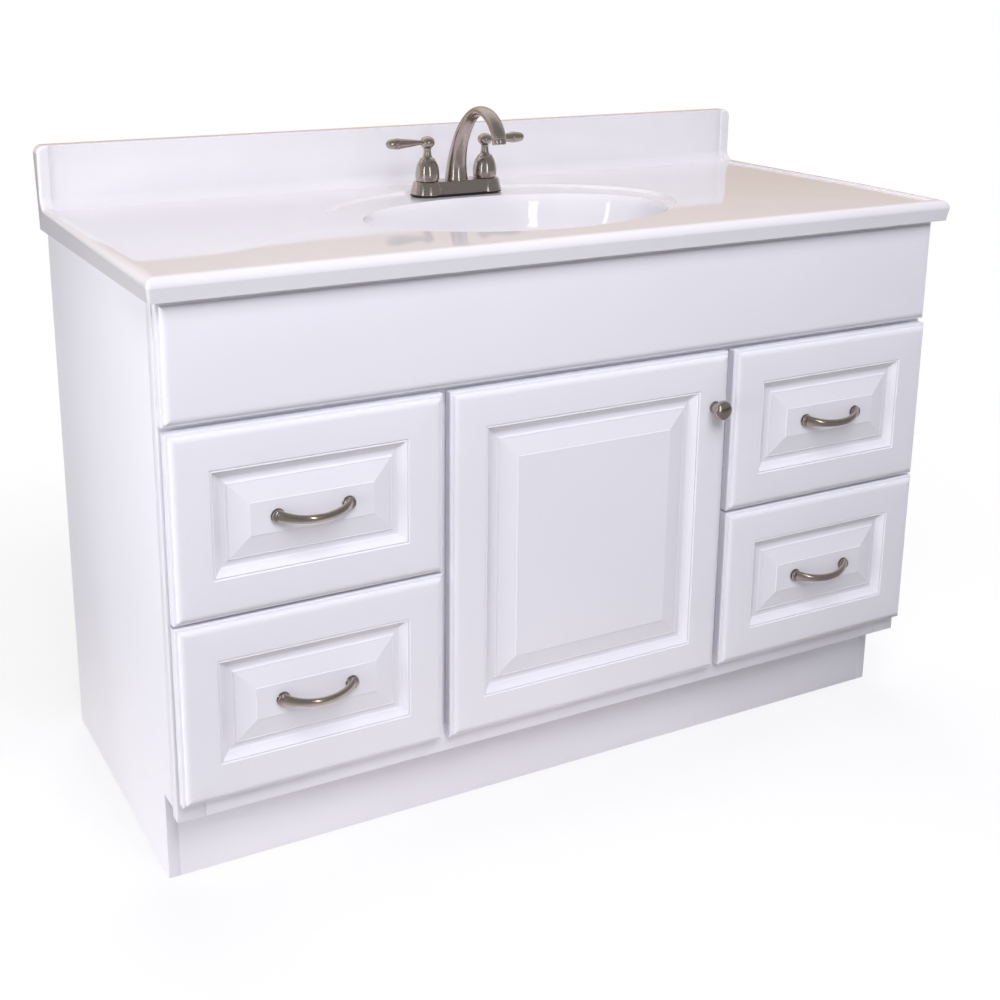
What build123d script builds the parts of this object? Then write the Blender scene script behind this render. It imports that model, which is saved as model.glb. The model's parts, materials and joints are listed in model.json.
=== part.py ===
from build123d import *
import os
from math import radians, sin, sqrt

# Bathroom vanity: a face-frame cabinet with one door and four drawers, a one-piece cast top
# with a basin, and a two-handle faucet. Millimetres, X to the right, Y to the back, Z up.
# Pieces are placed with y = 0 on the face frame's front and z = 0 on the floor.

# Cabinet box
cabinet_width = 1219.2
cabinet_height = 800.1
cabinet_depth = 525.0
panel_thickness = 15.9
toe_height = 127.0
toe_recess = 54.0
toe_board_thickness = 15.9
partition_back_gap = 22.0
back_rail_thickness = 15.9
back_rail_upper_height = 89.0
back_rail_lower_height = 76.0
wall_screw_spacing = 812.8
wall_screw_hole_radius = 2.5
wall_screw_drop = 32.0
brace_leg = 64.0
brace_thickness = 15.0

# Face frame
frame_thickness = 19.0
frame_bottom = 114.3
stile_width = 38.1
mullion_width = 38.1
top_rail_height = 44.0
mid_rail_height = 38.1
drawer_rail_height = 38.1
bottom_overlay = 13.0

# Door and drawer fronts
front_thickness = 18.5
front_standoff = 3.0
front_rise = 28.7
door_width = 451.6
front_reveal = 10.6
front_side_inset = 3.5
drawer_gap = 4.0
edge_drop = 5.0
edge_lip = 3.5
edge_slope_width = 7.5
edge_round = 2.0
border_width = 53.0
groove_depth = 6.5
groove_wall_width = 5.0
groove_floor_width = 14.0
field_bevel_width = 29.0
field_drop = 0.6
bumper_radius = 4.0
bumper_clearance = 0.1
bumper_edge_inset = 8.0

# False front under the top
false_front_height = 152.0
false_front_thickness = 16.5
false_front_top_gap = 3.0
false_front_gap = 6.5
false_front_side_inset = 2.0

# Concealed door hinges
hinge_pin_inset = 7.0
hinge_pin_depth = 9.0
hinge_pin_radius = 1.2
hinge_pin_clearance = 0.05
hinge_eye_radius = 2.1
hinge_eye_half_height = 4.0
hinge_cup_radius = 17.5
hinge_cup_wall = 1.0
hinge_cup_tab = 3.0
hinge_floor_clearance = 0.4
hinge_arm_thickness = 2.4
hinge_arm_reach_clearance = 0.6
hinge_arm_width = 6.0
hinge_plate_thickness = 2.4
hinge_plate_height = 46.0
hinge_end_distance = 90.0

# Drawer boxes and slides
box_board = 12.0
box_height = 150.0
box_length = 450.0
box_lift = 12.0
box_bottom_thickness = 5.0
box_bottom_lift = 8.0
box_groove = 5.0
slide_thickness = 12.7
slide_height = 35.0
slide_length = 445.0
slide_setback = 2.0
slide_steel = 1.3
slide_running_gap = 0.4
slide_nest = 3.0
spacer_height = 62.0

# Pulls and knob
pull_spacing = 96.0
pull_foot_radius = 9.0
pull_foot_height = 2.5
pull_collar_radius = 7.4
pull_collar_height = 3.5
pull_projection = 27.0
pull_bar_height = 12.0
pull_bar_depth = 7.0
pull_droop = 4.0
knob_radius = 14.5
knob_projection = 27.0
knob_neck_radius = 6.5
knob_foot_radius = 9.0
knob_foot_height = 3.0
knob_cap_height = 14.0
knob_cap_crown = 5.0
knob_edge_inset = 25.4
knob_top_inset = 78.0

# Cast top with basin and backsplash
top_side_overhang = 12.7
top_front_overhang = 33.8
top_edge_thickness = 34.0
top_bead_width = 16.0
top_bead_height = 3.0
top_front_round = 8.0
top_end_round = 5.0
top_pan_round = 5.0
top_pan_end_round = 4.0
top_under_ledge = 46.0
top_under_pocket = 12.0
splash_height = 90.0
splash_thickness = 24.0
splash_corner_round = 12.0
splash_cove = 18.0
dish_half_length = 275.0
dish_half_width = 200.0
dish_centre = 237.0
dish_depth = 2.0
dish_edge = 5.0
basin_half_length = 233.0
basin_half_width = 148.0
basin_centre = 196.0
basin_depth = 138.0
basin_wall = 12.0
basin_rim_round = 7.0
basin_fullness = 2.5
basin_floor_share = 0.985
basin_sections = 6

# Basin drain
drain_hole_radius = 22.5
drain_body_radius = 21.0
drain_bore_radius = 17.5
drain_body_length = 62.0
drain_flange_radius = 29.0
drain_flange_height = 3.0
drain_guide_height = 4.0
drain_guide_width = 8.0
drain_guide_depth = 34.0
drain_guide_seat = 0.5
drain_gasket_radius = 31.0
drain_gasket_height = 6.0
drain_nut_radius = 30.0
drain_nut_height = 9.0
drain_thread_clearance = 0.1
tailpiece_radius = 15.875
tailpiece_wall = 1.3
tailpiece_length = 150.0
tailpiece_grip = 18.0
stopper_radius = 19.5
stopper_cap_height = 6.0
stopper_stem_radius = 3.0
stopper_stem_clearance = 0.3
stopper_seat_clearance = 0.3
stopper_travel = 8.0

# Faucet
faucet_centre = 392.0
faucet_base_length = 158.0
faucet_base_depth = 54.0
faucet_base_height = 20.0
faucet_base_taper = 5.0
faucet_gasket_height = 2.0
faucet_gasket_inset = 1.5
handle_spacing = 101.6
handle_gap = 0.6
handle_rise = 59.0
bell_foot_radius = 20.0
bell_shoulder_radius = 21.0
bell_shoulder_height = 10.0
bell_foot_curve = 5.0
bell_top_radius = 11.0
bell_height = 36.0
neck_radius = 7.2
neck_height = 46.0
hub_radius = 12.2
lever_length = 72.0
lever_root_radius = 4.6
lever_belly_radius = 8.8
lever_belly_place = 54.0
lever_tip_radius = 6.0
lever_tip_crown = 3.0
lever_collar = 2.0
lever_socket_depth = 4.0
lever_socket_clearance = 0.05
valve_radius = 4.5
valve_height = 40.0
valve_clearance = 0.3
valve_skirt_radius = 15.0
valve_skirt_height = 26.0
bell_wall_clearance = 1.0
shank_radius = 11.5
shank_length = 52.0
inlet_radius = 10.3
inlet_length = 42.0
shank_hole_radius = 13.0
shank_clearance = 0.1
faucet_nut_radius = 19.0
faucet_nut_height = 9.0
spout_foot_radius = 20.0
spout_tip_radius = 9.6
spout_reach = 126.0
spout_rise = 110.0
spout_tip_rise = 68.0
spout_crown_share = 0.52
spout_base_lean = 0.04
spout_tip_lean = 0.42
spout_taper_power = 1.7
spout_sections = 9
aerator_radius = 10.6
aerator_bore_radius = 7.6
aerator_length = 13.0

# Levels and planes worked out from the sizes above
half_width = cabinet_width / 2
inner_half = half_width - panel_thickness
fronts_bottom = frame_bottom + front_rise
false_front_bottom = cabinet_height - false_front_top_gap - false_front_height
fronts_top = false_front_bottom - false_front_gap
drawer_front_height = (fronts_top - fronts_bottom - drawer_gap) / 2
drawer_split = fronts_bottom + drawer_front_height + drawer_gap / 2
fronts_plane = -front_standoff
face_plane = fronts_plane - front_thickness
floor_top = toe_height + panel_thickness
door_half = door_width / 2
drawer_inner = door_half + front_reveal
drawer_outer = half_width - front_side_inset
drawer_front_width = drawer_outer - drawer_inner
drawer_front_middle = (drawer_outer + drawer_inner) / 2
mullion_middle = door_half + front_reveal / 2
opening_inner = mullion_middle + mullion_width / 2
opening_outer = half_width - stile_width
door_opening_half = mullion_middle - mullion_width / 2
mid_rail_middle = (false_front_bottom + fronts_top) / 2
mid_rail_bottom = mid_rail_middle - mid_rail_height / 2
mid_rail_top = mid_rail_middle + mid_rail_height / 2
drawer_rail_bottom = drawer_split - drawer_rail_height / 2
drawer_rail_top = drawer_split + drawer_rail_height / 2
bottom_rail_top = fronts_bottom + bottom_overlay
box_inner = opening_inner + slide_thickness
box_outer = opening_outer - slide_thickness
top_half = half_width + top_side_overhang
deck_top = cabinet_height + top_edge_thickness
deck_level = deck_top - top_bead_height
splash_front = cabinet_depth - splash_thickness
dish_level = deck_level - dish_depth
basin_floor = dish_level - basin_depth * basin_floor_share
faucet_seat = dish_level + faucet_gasket_height
faucet_deck = faucet_seat + faucet_base_height
handle_bottom = faucet_deck + handle_gap
front_reach = -face_plane + max(pull_projection, knob_projection)
middle_depth = (cabinet_depth - max(front_reach, top_front_overhang)) / 2

sides = {"left": -1, "right": 1}
drawer_rows = {"upper": (drawer_rail_top, drawer_split + drawer_gap / 2),
               "lower": (bottom_rail_top, fronts_bottom)}


def save(name, *solids):
    """Write one node, moved so that the origin is under the middle of the whole object."""
    placed = [Pos(0, -middle_depth, 0) * solid for solid in solids]
    shape = placed[0] if len(placed) == 1 else Compound(children=placed)
    export_step(shape, f"parts/{name}.step")


def block(x0, x1, y0, y1, z0, z1):
    """A board between two corners, in any order along X."""
    low, high = min(x0, x1), max(x0, x1)
    return Pos((low + high) / 2, (y0 + y1) / 2, (z0 + z1) / 2) * Box(high - low, y1 - y0, z1 - z0)


def bar(radius, height):
    """A round bar standing on the origin."""
    return Cylinder(radius, height, align=(Align.CENTER, Align.CENTER, Align.MIN))


def upright(x, y, z, radius, height):
    """A round bar standing on the point given."""
    return Pos(x, y, z) * bar(radius, height)


def turned(*outline):
    """A solid of revolution about Z from points of radius and height.
    A point with two more numbers ends a curve that is drawn towards them."""
    edges = []
    for start, end in zip(outline, outline[1:] + outline[:1]):
        edges.append(Line(start[:2], end[:2]) if len(end) == 2 else Bezier(start[:2], end[2:], end[:2]))
    return revolve(Plane.XZ * make_face(edges), Axis.Z)


def rounded(points, radii):
    """A flat outline through the points, with each corner rounded by its own radius."""
    outline = make_face(Polyline(*points, close=True))
    for point, radius in zip(points, radii):
        if radius:
            corner = outline.vertices().sort_by_distance(Vector(*point))[0]
            outline = fillet(corner, radius)
    return outline


def tapered(width, height, low, top_width, top_height, high):
    """A block whose rectangle changes evenly from one level to the next."""
    foot = Pos(0, 0, low) * Rectangle(width, height)
    return loft([foot, Pos(0, 0, high) * Rectangle(top_width, top_height)])


def facing(x, y, z, panel):
    """Stand a panel drawn flat, so that its face looks to the front."""
    return Pos(x, y, z) * Rot(90, 0, 0) * panel


# Carcass


def side_panel(side):
    panel = block(side * inner_half, side * half_width, frame_thickness, cabinet_depth, 0, cabinet_height)
    notch = block(side * inner_half, side * half_width, 0, toe_recess, 0, toe_height)
    return panel - notch


def partition(side):
    back = cabinet_depth - partition_back_gap
    return block(side * (opening_inner - panel_thickness), side * opening_inner, frame_thickness, back,
                 floor_top, mid_rail_top)


def back_rail_upper():
    front = cabinet_depth - back_rail_thickness
    rail = block(-inner_half, inner_half, front, cabinet_depth, cabinet_height - back_rail_upper_height,
                 cabinet_height)
    height = cabinet_height - wall_screw_drop
    for side in sides.values():
        hole = Cylinder(wall_screw_hole_radius, 2 * back_rail_thickness)
        rail -= Pos(side * wall_screw_spacing / 2, cabinet_depth, height) * Rot(90, 0, 0) * hole
    return rail


def corner_brace(side, y, direction):
    leg_x = -side * brace_leg
    leg_y = direction * brace_leg
    outline = make_face(Polyline((0, 0), (leg_x, 0), (0, leg_y), close=True))
    brace = extrude(outline, brace_thickness, dir=(0, 0, -1))
    return Pos(side * inner_half, y, cabinet_height) * brace


def build_carcass():
    for name, side in sides.items():
        save(f"side_panel_{name}", side_panel(side))
        save(f"partition_{name}", partition(side))
    back = cabinet_depth
    save("floor_panel", block(-inner_half, inner_half, frame_thickness, back, toe_height, floor_top))
    toe_back = toe_recess + toe_board_thickness
    save("toe_kick", block(-inner_half, inner_half, toe_recess, toe_back, 0, toe_height))
    save("back_rail_upper", back_rail_upper())
    save("back_rail_lower", block(-inner_half, inner_half, back - back_rail_thickness, back, floor_top,
                                  floor_top + back_rail_lower_height))
    braces = []
    for side in sides.values():
        braces.append(corner_brace(side, frame_thickness, 1))
        braces.append(corner_brace(side, back - back_rail_thickness, -1))
    save("corner_braces", *braces)


# Face frame


def rail(low, high, x0=-opening_outer, x1=opening_outer):
    return block(x0, x1, 0, frame_thickness, low, high)


def build_face_frame():
    for name, side in sides.items():
        save(f"stile_{name}", rail(frame_bottom, cabinet_height, side * opening_outer, side * half_width))
    save("top_rail", rail(cabinet_height - top_rail_height, cabinet_height))
    save("mid_rail", rail(mid_rail_bottom, mid_rail_top))
    save("bottom_rail", rail(frame_bottom, bottom_rail_top))
    mullions = []
    drawer_rails = []
    for side in sides.values():
        inner = side * opening_inner
        mullions.append(rail(bottom_rail_top, mid_rail_bottom, side * door_opening_half, inner))
        drawer_rails.append(rail(drawer_rail_bottom, drawer_rail_top, inner, side * opening_outer))
    save("mullions", *mullions)
    save("drawer_rails", *drawer_rails)


# Moulded fronts


def moulded_slab(width, height, thickness):
    """A slab with a stepped edge: a rounded lip, then a slope up to the flat face."""
    lip = extrude(Rectangle(width, height), thickness - edge_drop)
    lip = fillet(lip.faces().sort_by(Axis.Z)[-1].edges(), edge_round)
    inset = 2 * edge_lip
    slope = inset + 2 * edge_slope_width
    face = tapered(width - inset, height - inset, thickness - edge_drop - edge_round, width - slope,
                   height - slope, thickness)
    return lip + face


def raised_panel(width, height):
    """A slab with a grooved border and a bevelled field that stands up in the middle."""
    slab = moulded_slab(width, height, front_thickness)
    floor = front_thickness - groove_depth
    inset = 2 * border_width
    wall = inset + 2 * groove_wall_width
    slab -= tapered(width - wall, height - wall, floor, width - inset, height - inset, front_thickness)
    bevel = wall + 2 * groove_floor_width
    field = bevel + 2 * field_bevel_width
    slab += tapered(width - bevel, height - bevel, floor, width - field, height - field,
                    front_thickness - field_drop)
    return slab


def build_false_front():
    width = cabinet_width - 2 * false_front_side_inset
    panel = moulded_slab(width, false_front_height, false_front_thickness)
    save("false_front", facing(0, 0, false_front_bottom + false_front_height / 2, panel))


def bumper(x, z):
    return facing(x, 0, z, bar(bumper_radius, front_standoff - bumper_clearance))


def build_bumpers():
    stile_x = half_width - front_side_inset - bumper_edge_inset - bumper_radius
    mullion_x = drawer_inner + bumper_edge_inset / 2 + bumper_radius
    door_x = door_half - bumper_edge_inset / 2 - bumper_radius
    pads = []
    for low in (fronts_bottom, drawer_split + drawer_gap / 2):
        for x in (stile_x, mullion_x):
            for side in sides.values():
                pads.append(bumper(side * x, low + drawer_front_height / 2))
    for z in (fronts_bottom, fronts_top):
        inward = bumper_edge_inset + bumper_radius
        pads.append(bumper(door_x, z + inward if z < drawer_split else z - inward))
    save("front_bumpers", *pads)


# Door, knob and hinges

door_middle = (fronts_top + fronts_bottom) / 2
hinge_heights = (fronts_bottom + hinge_end_distance, fronts_top - hinge_end_distance)
hinge_x = -door_half + hinge_pin_inset
hinge_y = fronts_plane - hinge_pin_depth
cup_x = -door_half + hinge_cup_tab + hinge_cup_radius
cup_depth = hinge_pin_depth + hinge_eye_radius + hinge_floor_clearance + hinge_cup_wall


def cup_space(z, radius, depth):
    """The round pocket of a hinge cup, opening at the door's back."""
    return facing(cup_x, fronts_plane, z, bar(radius, depth))


def pin_half_length():
    return sqrt(hinge_cup_radius ** 2 - (cup_x - hinge_x + hinge_pin_radius) ** 2)


def hinge_pin(z, radius):
    half = pin_half_length()
    return upright(hinge_x, hinge_y, z - half, radius, 2 * half)


def hinge_cup(z):
    cup = cup_space(z, hinge_cup_radius, cup_depth)
    cup -= cup_space(z, hinge_cup_radius - hinge_cup_wall, cup_depth - hinge_cup_wall)
    return cup - hinge_pin(z, hinge_pin_radius)


def hinge_arm(z):
    """A plate on the frame's edge and a bent arm that reaches round the cup's rim to the pin."""
    half = hinge_eye_half_height
    neck_x = hinge_x + hinge_pin_depth + hinge_arm_reach_clearance
    plate_x = -door_opening_half + hinge_plate_thickness
    neck_end = max(neck_x, plate_x - hinge_arm_width / 2) + hinge_arm_width
    plate_half = hinge_plate_height / 2
    plate = block(-door_opening_half, plate_x, 0, frame_thickness, z - plate_half, z + plate_half)
    front = hinge_y - hinge_arm_thickness / 2
    finger = block(hinge_x, neck_end, front, front + hinge_arm_thickness, z - half, z + half)
    neck = block(neck_x, neck_end, front, frame_thickness / 2, z - half, z + half)
    foot = block(-door_opening_half, neck_end, hinge_plate_thickness, frame_thickness / 2, z - half, z + half)
    eye = upright(hinge_x, hinge_y, z - half, hinge_eye_radius, 2 * half)
    bore = upright(hinge_x, hinge_y, z - 2 * half, hinge_pin_radius + hinge_pin_clearance, 4 * half)
    return plate + finger + neck + foot + eye - bore


def knob():
    neck = knob_projection - knob_cap_height
    rim = knob_projection - knob_cap_crown
    return turned((0, 0), (knob_foot_radius, 0), (knob_foot_radius, knob_foot_height),
                  (knob_neck_radius, knob_foot_height), (knob_neck_radius, neck),
                  (knob_radius, rim, knob_radius, neck),
                  (0, knob_projection, knob_radius, knob_projection))


def build_door():
    panel = facing(0, fronts_plane, door_middle, raised_panel(door_width, fronts_top - fronts_bottom))
    for z in hinge_heights:
        panel -= cup_space(z, hinge_cup_radius, cup_depth)
    save("door_panel", panel)
    save("door_knob", facing(door_half - knob_edge_inset, face_plane, fronts_top - knob_top_inset, knob()))
    save("hinge_cups", *[hinge_cup(z) for z in hinge_heights])
    save("hinge_pins", *[hinge_pin(z, hinge_pin_radius) for z in hinge_heights])
    save("hinge_arms", *[hinge_arm(z) for z in hinge_heights])


# Drawers


def slide_channel(side, x, inward, z):
    """The cabinet's half of a slide: a thin channel open towards the drawer."""
    half = slide_height / 2
    reach = slide_thickness - slide_nest
    end = slide_setback + slide_length
    outer = block(side * x, side * (x + inward * reach), slide_setback, end, z - half, z + half)
    hollow = block(side * (x + inward * slide_steel), side * (x + inward * slide_thickness),
                   slide_setback, end, z - half + slide_steel, z + half - slide_steel)
    return outer - hollow


def slide_runner(side, x, inward, z):
    """The drawer's half of a slide, nested in the channel with a running gap."""
    half = slide_height / 2 - slide_steel - slide_running_gap
    end = slide_setback + slide_length
    outer = block(side * (x + inward * slide_nest), side * (x + inward * slide_thickness),
                  slide_setback, end, z - half, z + half)
    hollow = block(side * x, side * (x + inward * (slide_thickness - slide_steel)),
                   slide_setback, end, z - half + slide_steel, z + half - slide_steel)
    return outer - hollow


def box_bottom(side, low):
    inset = box_board - box_groove
    z = low + box_bottom_lift
    return block(side * (box_inner + inset), side * (box_outer - inset), fronts_plane + inset,
                 fronts_plane + box_length - inset, z, z + box_bottom_thickness)


def box_boards(side, low):
    high = low + box_height
    front = fronts_plane
    back = fronts_plane + box_length
    bottom = box_bottom(side, low)
    left = block(side * box_inner, side * (box_inner + box_board), front, back, low, high)
    right = block(side * (box_outer - box_board), side * box_outer, front, back, low, high)
    ends = [block(side * (box_inner + box_board), side * (box_outer - box_board), y, y + box_board, low, high)
            for y in (front, back - box_board)]
    return [board - bottom for board in (left, right, *ends)]


def pull():
    """A bow pull: two feet with collars and a flat oval bar between them, sagging a little."""
    half = pull_spacing / 2
    start = pull_foot_height + pull_collar_height / 2
    apex = pull_projection - pull_bar_depth / 2
    bow = ThreePointArc((-half, 0, start), (0, -pull_droop, apex), (half, 0, start))
    start_plane = Plane(origin=bow @ 0, x_dir=(0, 1, 0), z_dir=bow % 0)
    handle = sweep(start_plane * Ellipse(pull_bar_height / 2, pull_bar_depth / 2), bow)
    for x in (-half, half):
        handle += upright(x, 0, 0, pull_foot_radius, pull_foot_height)
        handle += upright(x, 0, pull_foot_height, pull_collar_radius, pull_collar_height)
    return handle


def build_drawers():
    channels = []
    spacers = []
    for row, (opening_bottom, front_bottom) in drawer_rows.items():
        low = opening_bottom + box_lift
        slide_z = low + box_height / 2
        for name, side in sides.items():
            place = f"{row}_{name}"
            middle = side * drawer_front_middle
            front_z = front_bottom + drawer_front_height / 2
            panel = raised_panel(drawer_front_width, drawer_front_height)
            save(f"drawer_front_{place}", facing(middle, fronts_plane, front_z, panel))
            save(f"drawer_box_{place}", *box_boards(side, low))
            save(f"drawer_bottom_{place}", box_bottom(side, low))
            save(f"pull_{place}", facing(middle, face_plane + field_drop, front_z, pull()))
            runners = []
            for x, inward in ((opening_inner, 1), (opening_outer, -1)):
                channels.append(slide_channel(side, x, inward, slide_z))
                runners.append(slide_runner(side, x, inward, slide_z))
            save(f"slide_runners_{place}", *runners)
            spacers.append(block(side * opening_outer, side * inner_half, frame_thickness,
                                 slide_setback + slide_length, slide_z - spacer_height / 2,
                                 slide_z + spacer_height / 2))
    save("slide_channels", *channels)
    save("slide_spacers", *spacers)


# Cast top


def basin_solid(grow, floor_grow, rim):
    """The basin's bowl as a loft of ovals from the rim down; the rim flares out by a quarter round."""
    ovals = []
    for step in range(basin_sections + 1):
        share = basin_floor_share * sin(radians(90 * step / basin_sections))
        fall = basin_depth * share
        size = (1 - share ** basin_fullness) ** (1 / basin_fullness)
        flare = 0
        if rim and fall < rim:
            flare = rim - sqrt(rim ** 2 - (rim - fall) ** 2)
        half_length = basin_half_length * size + grow + flare
        half_width_here = basin_half_width * size + grow + flare
        drop = fall + floor_grow * step / basin_sections
        ovals.append(Pos(0, basin_centre, dish_level - drop) * Ellipse(half_length, half_width_here))
    return loft(ovals)


def top_blank():
    """The outer form: deck and backsplash in one outline, with its exposed edges rounded."""
    front = -top_front_overhang
    back = cabinet_depth
    high = deck_top + splash_height
    points = [(front, cabinet_height), (front, deck_top), (splash_front, deck_top), (splash_front, high),
              (back, high), (back, cabinet_height)]
    outline = Plane.YZ * rounded(points, [0, top_front_round, splash_cove, 0, 0, 0])
    blank = extrude(outline, top_half, both=True)
    blank = fillet(blank.edges().filter_by(Axis.Y).group_by(Axis.Z)[-1], splash_corner_round)
    margin = splash_thickness / 4
    exposed = []
    for edge in blank.edges():
        box = edge.bounding_box()
        hidden = box.max.Y > back - margin or box.max.Z < cabinet_height + margin
        seam = box.size.X > top_half and box.max.Z < high - margin
        if not hidden and not seam:
            exposed.append(edge)
    return fillet(exposed, top_end_round)


def top_pan():
    """What is taken out inside the raised bead: the deck's surface and the backsplash's face."""
    front = -top_front_overhang + top_bead_width
    back = splash_front + top_bead_height
    high = deck_top + 2 * splash_height
    points = [(front, deck_level), (front, high), (back, high), (back, deck_level)]
    outline = Plane.YZ * rounded(points, [top_pan_round, 0, 0, splash_cove])
    pan = extrude(outline, top_half - top_bead_width, both=True)
    ends = pan.faces().sort_by(Axis.X)
    edges = []
    for end in (ends[0], ends[-1]):
        edges += [edge for edge in end.edges() if edge.center().Z < high - splash_height / 4]
    return fillet(edges, top_pan_end_round)


def dish():
    top = Pos(0, dish_centre, deck_level) * Ellipse(dish_half_length, dish_half_width)
    floor = Ellipse(dish_half_length - dish_edge, dish_half_width - dish_edge)
    return loft([Pos(0, dish_centre, dish_level) * floor, top])


def vanity_top():
    ledge = top_under_ledge + top_side_overhang
    pocket = block(-top_half + ledge, top_half - ledge, top_under_ledge, cabinet_depth - top_under_ledge,
                   cabinet_height, cabinet_height + top_under_pocket)
    top = top_blank() - pocket
    top += basin_solid(basin_wall, basin_wall, 0)
    top -= top_pan()
    top -= dish()
    top -= basin_solid(0, 0, basin_rim_round)
    top -= upright(0, basin_centre, basin_floor - 2 * basin_wall, drain_hole_radius, 3 * basin_wall)
    for side in sides.values():
        top -= upright(side * handle_spacing / 2, faucet_centre, cabinet_height, shank_hole_radius,
                       top_edge_thickness)
    return top


# Drain


def drain_flange():
    low = basin_floor - drain_body_length
    body = turned((drain_bore_radius, low - basin_floor), (drain_body_radius, low - basin_floor),
                  (drain_body_radius, 0), (drain_flange_radius, 0),
                  (drain_bore_radius + drain_flange_height, drain_flange_height),
                  (drain_bore_radius, 0))
    guide_length = 2 * (drain_bore_radius + drain_guide_seat)
    guide = Pos(0, 0, -drain_guide_depth) * Box(guide_length, drain_guide_width, drain_guide_height)
    guide -= Cylinder(stopper_stem_radius + stopper_stem_clearance, 4 * drain_guide_depth)
    return Pos(0, basin_centre, basin_floor) * (body + guide)


def drain_ring(radius, low, height):
    ring = upright(0, basin_centre, low, radius, height)
    bore = drain_body_radius + drain_thread_clearance
    return ring - upright(0, basin_centre, low - height, bore, 3 * height)


def drain_tailpiece():
    top = basin_floor - drain_body_length + tailpiece_grip
    low = top - tailpiece_length
    tube = upright(0, basin_centre, low, tailpiece_radius, tailpiece_length)
    collar_radius = drain_bore_radius - drain_thread_clearance
    tube += upright(0, basin_centre, top - tailpiece_grip, collar_radius, tailpiece_grip)
    return tube - upright(0, basin_centre, low, tailpiece_radius - tailpiece_wall, tailpiece_length)


def drain_stopper():
    seat = drain_flange_height + stopper_seat_clearance
    stem = drain_guide_depth + drain_guide_height + stopper_travel
    cap = turned((0, -stem), (stopper_stem_radius, -stem), (stopper_stem_radius, seat),
                 (stopper_radius, seat), (stopper_radius, seat + stopper_cap_height / 2),
                 (0, seat + stopper_cap_height, stopper_radius, seat + stopper_cap_height))
    return Pos(0, basin_centre, basin_floor) * cap


def build_top_and_drain():
    save("vanity_top", vanity_top())
    under = basin_floor - basin_wall - drain_gasket_height
    save("drain_flange", drain_flange())
    save("drain_nut", drain_ring(drain_nut_radius, under - drain_nut_height, drain_nut_height))
    save("drain_tailpiece", drain_tailpiece())
    save("drain_stopper", drain_stopper())
    return drain_ring(drain_gasket_radius, under, drain_gasket_height)


# Faucet


def shank_holes(height):
    """Two round bars, far taller than a plate of this height, that cut its holes for the valve shanks."""
    radius = shank_radius + shank_clearance
    return [upright(side * handle_spacing / 2, 0, -height, radius, 3 * height) for side in sides.values()]


def faucet_base():
    taper = 2 * faucet_base_taper
    foot = SlotOverall(faucet_base_length, faucet_base_depth)
    crown = SlotOverall(faucet_base_length - taper, faucet_base_depth - taper)
    base = loft([foot, Pos(0, 0, faucet_base_height) * crown])
    for hole in shank_holes(faucet_base_height):
        base -= hole
    return Pos(0, faucet_centre, faucet_seat) * base


def faucet_gasket():
    inset = 2 * faucet_gasket_inset
    outline = SlotOverall(faucet_base_length - inset, faucet_base_depth - inset)
    pad = extrude(outline, faucet_gasket_height)
    for hole in shank_holes(faucet_gasket_height):
        pad -= hole
    return Pos(0, faucet_centre, dish_level) * pad


def valve(side):
    """A cartridge on its shank: the shank passes the base and the top, the stem enters the handle."""
    return Pos(side * handle_spacing / 2, faucet_centre, faucet_deck) * turned(
        (0, -shank_length - inlet_length), (inlet_radius, -shank_length - inlet_length),
        (inlet_radius, -shank_length), (shank_radius, -shank_length), (shank_radius, 0),
        (valve_skirt_radius, 0), (valve_skirt_radius, valve_skirt_height / 2),
        (valve_radius, valve_skirt_height), (valve_radius, valve_height), (0, valve_height))


def handle(side):
    """A bell on a running gap, a neck and a ball hub, bored for the valve."""
    hub = handle_rise
    outer = turned((0, 0), (bell_foot_radius, 0),
                   (bell_shoulder_radius, bell_shoulder_height, bell_shoulder_radius, bell_foot_curve),
                   (bell_top_radius, bell_height, bell_shoulder_radius, bell_height - bell_foot_curve),
                   (neck_radius, neck_height, neck_radius, bell_height),
                   (neck_radius, hub - hub_radius / 2), (0, hub))
    outer += Pos(0, 0, hub) * Sphere(hub_radius)
    skirt = valve_skirt_radius + bell_wall_clearance
    stem = valve_radius + valve_clearance
    reach = valve_skirt_height - handle_gap + bell_wall_clearance
    top = valve_height - handle_gap + bell_wall_clearance
    bore = turned((0, 0), (skirt, 0), (skirt, reach / 2), (stem, reach), (stem, top), (0, top))
    socket_x = side * (hub_radius - lever_socket_depth)
    socket = bar(lever_root_radius + lever_socket_clearance, hub_radius)
    socket = Pos(socket_x, 0, hub) * Rot(0, side * 90, 0) * socket
    return Pos(side * handle_spacing / 2, faucet_centre, handle_bottom) * (outer - bore - socket)


def lever(side):
    root = hub_radius - lever_socket_depth
    waist = (hub_radius + lever_belly_place) / 2
    rim = lever_length - lever_tip_crown
    rod = turned((0, root), (lever_root_radius, root), (lever_root_radius, hub_radius + lever_collar),
                 (lever_belly_radius, lever_belly_place, lever_root_radius, waist),
                 (lever_tip_radius, rim, lever_belly_radius, (lever_belly_place + rim) / 2),
                 (0, lever_length, lever_tip_radius, lever_length))
    place = Pos(side * handle_spacing / 2, faucet_centre, handle_bottom + handle_rise)
    return place * Rot(0, side * 90, 0) * rod


def spout_path():
    """The spout's centre line in the YZ plane, up from the base, over and down to the tip."""
    base = (0, faucet_centre, faucet_deck)
    crown = (0, faucet_centre - spout_reach * spout_crown_share, faucet_deck + spout_rise)
    tip = (0, faucet_centre - spout_reach, faucet_deck + spout_tip_rise)
    return Spline(base, crown, tip, tangents=[(0, -spout_base_lean, 1), (0, -spout_tip_lean, -1)])


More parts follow.
